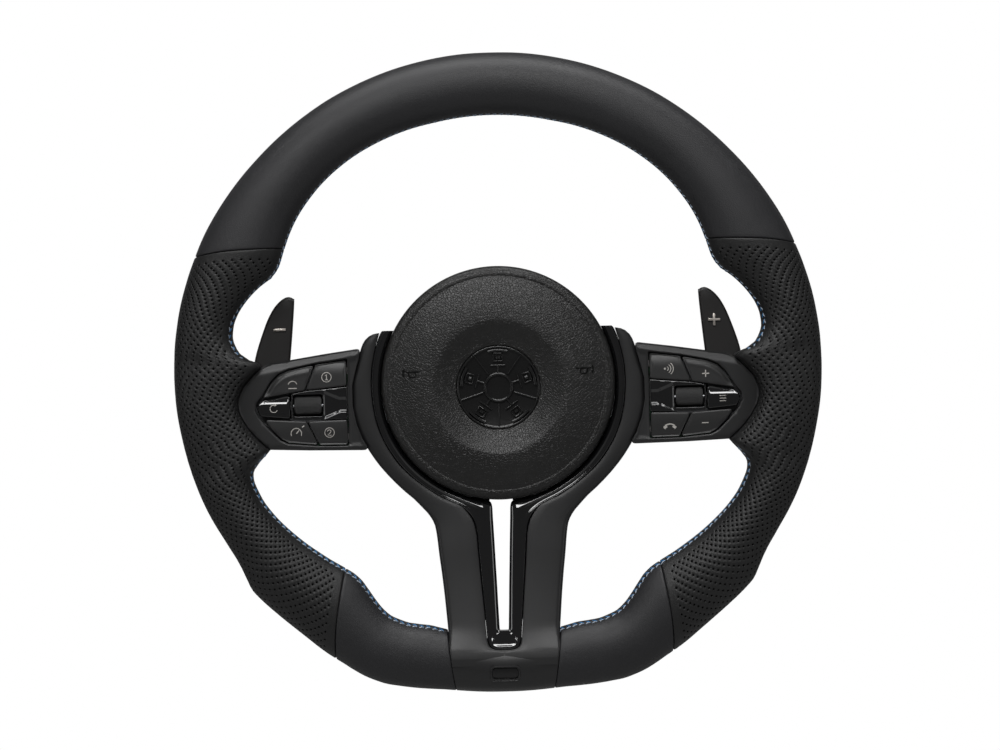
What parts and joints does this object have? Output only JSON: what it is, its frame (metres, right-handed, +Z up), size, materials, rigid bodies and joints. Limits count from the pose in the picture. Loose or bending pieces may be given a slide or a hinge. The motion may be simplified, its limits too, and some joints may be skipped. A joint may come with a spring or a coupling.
{
  "type": "car steering wheel",
  "caption": "Three-spoke leather-covered steering wheel with a sprung airbag horn pad, switch pods with push buttons and rollers, two shift paddles and a splined hub bore.",
  "frame": {"origin": "centre of the column bore's rear mouth, on the steering axis", "axes": "+Z up towards the top of the rim, -Y towards the driver, +Y along the column, out of the bore"},
  "size_m": [0.369, 0.0805, 0.3643],
  "materials": {
    "cast_metal": "cast",
    "steel": "machined",
    "foam": "moulded",
    "leather": "fine grain",
    "leather_perforated": "perforated",
    "satin_black": "satin",
    "gloss_black": "polished",
    "airbag_grain": "fine grain",
    "grey_plastic": "moulded",
    "board": "coated",
    "keymat": "moulded",
    "cushion": "woven",
    "paddle": "satin",
    "silver": "satin"
  },
  "bodies": {
    "wheel": {"armature": "cast_metal", "hub_insert": "steel", "rim_foam": "foam", "leather_top": "leather", "leather_grip_left": "leather_perforated", "leather_grip_right": "leather_perforated", "leather_lower_left": "leather", "leather_lower_right": "leather", "lower_trim": "satin_black", "lower_badge": "gloss_black", "gloss_insert": "gloss_black", "trim_screws": "steel", "rear_cover": "satin_black", "rear_cover_screws": "steel", "left_pod_housing": "grey_plastic", "right_pod_housing": "grey_plastic", "left_pod_bezel": "satin_black", "right_pod_bezel": "satin_black", "left_pod_band": "gloss_black", "right_pod_band": "gloss_black", "left_pod_board": "board", "right_pod_board": "board", "left_keymat": "keymat", "right_keymat": "keymat", "pod_screws": "steel", "rocker_pin": "steel", "scroll_pin": "steel", "left_paddle_bracket": "grey_plastic", "right_paddle_bracket": "grey_plastic", "paddle_pins": "steel", "paddle_switches": "grey_plastic", "control_module": "grey_plastic", "horn_guide_pins": "steel", "horn_springs": "steel"},
    "airbag": {"airbag_cover": "airbag_grain", "airbag_housing": "cast_metal", "airbag_cushion": "cushion", "inflator": "steel", "inflator_nuts": "steel", "emblem_carrier": "gloss_black"},
    "limit_button": {"limit_button": "satin_black"},
    "memory_one_button": {"memory_one_button": "satin_black"},
    "cruise_button": {"cruise_button": "satin_black"},
    "memory_two_button": {"memory_two_button": "satin_black"},
    "voice_button": {"voice_button": "satin_black"},
    "volume_down_button": {"volume_down_button": "satin_black"},
    "phone_button": {"phone_button": "satin_black"},
    "volume_up_button": {"volume_up_button": "satin_black"},
    "resume_key": {"resume_key": "satin_black"},
    "mode_key": {"mode_key": "satin_black"},
    "speed_rocker": {"speed_rocker": "grey_plastic"},
    "scroll_wheel": {"scroll_wheel": "grey_plastic"},
    "left_paddle": {"left_paddle": "paddle", "minus_mark": "silver"},
    "right_paddle": {"right_paddle": "paddle", "plus_mark": "silver"}
  },
  "joints": [
    {"name": "horn_press", "type": "slide", "parent": "wheel", "child": "airbag", "axis": [0, 1, 0], "range_m": [0, 0.002], "stiffness_N_per_m": 6000, "springref_m": -0.004, "deforming": ["horn_springs"]},
    {"name": "limit_press", "type": "slide", "parent": "wheel", "child": "limit_button", "axis": [0, 1, 0], "range_m": [0, 0.001], "stiffness_N_per_m": 1500, "springref_m": -0.001},
    {"name": "memory_one_press", "type": "slide", "parent": "wheel", "child": "memory_one_button", "axis": [0, 1, 0], "range_m": [0, 0.001], "stiffness_N_per_m": 1500, "springref_m": -0.001},
    {"name": "cruise_press", "type": "slide", "parent": "wheel", "child": "cruise_button", "axis": [0, 1, 0], "range_m": [0, 0.001], "stiffness_N_per_m": 1500, "springref_m": -0.001},
    {"name": "memory_two_press", "type": "slide", "parent": "wheel", "child": "memory_two_button", "axis": [0, 1, 0], "range_m": [0, 0.001], "stiffness_N_per_m": 1500, "springref_m": -0.001},
    {"name": "voice_press", "type": "slide", "parent": "wheel", "child": "voice_button", "axis": [0, 1, 0], "range_m": [0, 0.001], "stiffness_N_per_m": 1500, "springref_m": -0.001},
    {"name": "volume_down_press", "type": "slide", "parent": "wheel", "child": "volume_down_button", "axis": [0, 1, 0], "range_m": [0, 0.001], "stiffness_N_per_m": 1500, "springref_m": -0.001},
    {"name": "phone_press", "type": "slide", "parent": "wheel", "child": "phone_button", "axis": [0, 1, 0], "range_m": [0, 0.001], "stiffness_N_per_m": 1500, "springref_m": -0.001},
    {"name": "volume_up_press", "type": "slide", "parent": "wheel", "child": "volume_up_button", "axis": [0, 1, 0], "range_m": [0, 0.001], "stiffness_N_per_m": 1500, "springref_m": -0.001},
    {"name": "resume_press", "type": "slide", "parent": "wheel", "child": "resume_key", "axis": [0, 1, 0], "range_m": [0, 0.001], "stiffness_N_per_m": 1500, "springref_m": -0.001},
    {"name": "mode_press", "type": "slide", "parent": "wheel", "child": "mode_key", "axis": [0, 1, 0], "range_m": [0, 0.001], "stiffness_N_per_m": 1500, "springref_m": -0.001},
    {"name": "speed_rock", "type": "hinge", "parent": "wheel", "child": "speed_rocker", "pos_m": [-0.1085, -0.0653, -0.0138], "axis": [1, 0, 0], "range_deg": [-10, 10], "stiffness_Nm_per_rad": 0.05},
    {"name": "scroll_spin", "type": "hinge", "parent": "wheel", "child": "scroll_wheel", "pos_m": [0.1085, -0.0653, -0.0138], "axis": [1, 0, 0], "continuous": true},
    {"name": "left_paddle_pull", "type": "hinge", "parent": "wheel", "child": "left_paddle", "pos_m": [-0.084, -0.032, -0.013], "axis": [0, 0, 1], "range_deg": [0, 6], "stiffness_Nm_per_rad": 1.2, "springref_deg": -17.19},
    {"name": "right_paddle_pull", "type": "hinge", "parent": "wheel", "child": "right_paddle", "pos_m": [0.084, -0.032, -0.013], "axis": [0, 0, -1], "range_deg": [0, 6], "stiffness_Nm_per_rad": 1.2, "springref_deg": -17.19}
  ]
}
